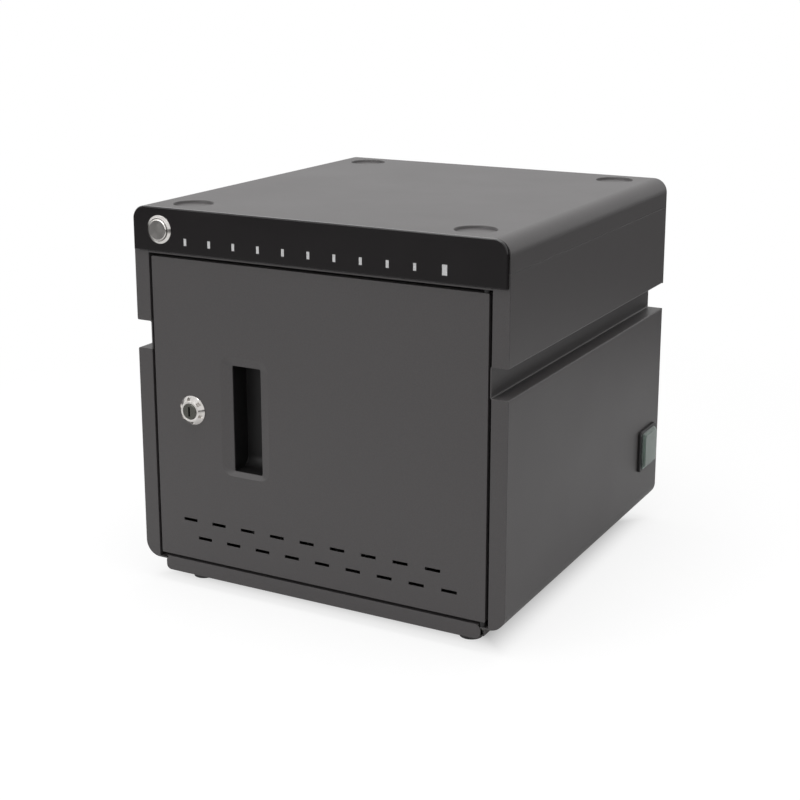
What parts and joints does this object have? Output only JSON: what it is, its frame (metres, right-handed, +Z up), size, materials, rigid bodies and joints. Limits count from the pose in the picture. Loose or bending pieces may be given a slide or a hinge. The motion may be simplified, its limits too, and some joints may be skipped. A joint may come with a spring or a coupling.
{
  "type": "desktop charging cabinet",
  "caption": "Dark steel desktop charging cabinet with a lockable vented door, side grooves, a gloss bezel with port lights, a push button and a rocker switch low on one side.",
  "frame": {"origin": "on the ground under the middle of the shell, midway between the bezel's face and the rear panel", "axes": "+X to the right-hand side with the rocker switch, -Y out of the door, +Z up"},
  "size_m": [0.3824, 0.3942, 0.362],
  "materials": {
    "shell_paint": "satin powder coat, fine texture",
    "gloss_black": "gloss moulded",
    "light_window": "milky light guide",
    "chrome": "polished",
    "dark_plug": "dark turned steel",
    "zinc_steel": "zinc plated",
    "black_plastic": "moulded, fine grain",
    "clear_boot": "soft clear cover",
    "rocker_green": "gloss moulded",
    "rubber": "matt rubber",
    "board_green": "solder mask",
    "brass": "plated contact",
    "divider_plastic": "moulded, fine grain"
  },
  "bodies": {
    "cabinet": {"side_panel_left": "shell_paint", "side_panel_right": "shell_paint", "top_cover": "shell_paint", "base_tray": "shell_paint", "ceiling_sheet": "shell_paint", "bay_back_wall": "shell_paint", "rear_panel": "shell_paint", "front_bezel": "gloss_black", "port_lights": "light_window", "power_light": "light_window", "indicator_board": "board_green", "indicator_spacers": "zinc_steel", "button_housing": "chrome", "button_nut": "zinc_steel", "hinge_pin_upper": "dark_plug", "hinge_pin_lower": "dark_plug", "hinge_washers": "black_plastic", "door_stops": "shell_paint", "door_buffers": "rubber", "divider_rails": "divider_plastic", "dividers": "divider_plastic", "charging_sockets": "zinc_steel", "charging_board": "board_green", "charging_spacers": "zinc_steel", "power_supply": "zinc_steel", "fan_frame_left": "black_plastic", "fan_frame_right": "black_plastic", "fan_guards": "chrome", "mains_inlet": "black_plastic", "inlet_pins": "brass", "switch_housing": "black_plastic", "switch_boot": "clear_boot", "feet": "rubber", "foot_screws": "zinc_steel", "panel_screws": "zinc_steel", "guard_screws": "zinc_steel", "inlet_screws": "zinc_steel"},
    "door": {"door_panel": "shell_paint", "handle_cup": "black_plastic", "lock_body": "chrome", "lock_nut": "zinc_steel"},
    "lock_cylinder": {"lock_plug": "dark_plug", "lock_cam": "zinc_steel", "cam_screw": "zinc_steel"},
    "button": {"button_cap": "chrome"},
    "rocker": {"switch_rocker": "rocker_green"},
    "fan_left": {"fan_rotor_left": "black_plastic"},
    "fan_right": {"fan_rotor_right": "black_plastic"}
  },
  "joints": [
    {"name": "door_swing", "type": "hinge", "parent": "cabinet", "child": "door", "pos_m": [0.1663, -0.1873, 0.1725], "axis": [0, 0, 1], "range_deg": [0, 110]},
    {"name": "lock_turn", "type": "hinge", "parent": "door", "child": "lock_cylinder", "pos_m": [-0.129, -0.1905, 0.175], "axis": [0, 1, 0], "range_deg": [0, 90]},
    {"name": "button_press", "type": "slide", "parent": "cabinet", "child": "button", "axis": [0, 1, 0], "range_m": [0, 0.002], "stiffness_N_per_m": 300},
    {"name": "rocker_tilt", "type": "hinge", "parent": "cabinet", "child": "rocker", "pos_m": [0.18, 0.157, 0.0885], "axis": [0, 1, 0], "range_deg": [0, 10]},
    {"name": "fan_left_spin", "type": "hinge", "parent": "cabinet", "child": "fan_left", "pos_m": [-0.092, 0.1848, 0.222], "axis": [0, 1, 0], "continuous": true},
    {"name": "fan_right_spin", "type": "hinge", "parent": "cabinet", "child": "fan_right", "pos_m": [0.092, 0.1848, 0.222], "axis": [0, 1, 0], "continuous": true}
  ]
}
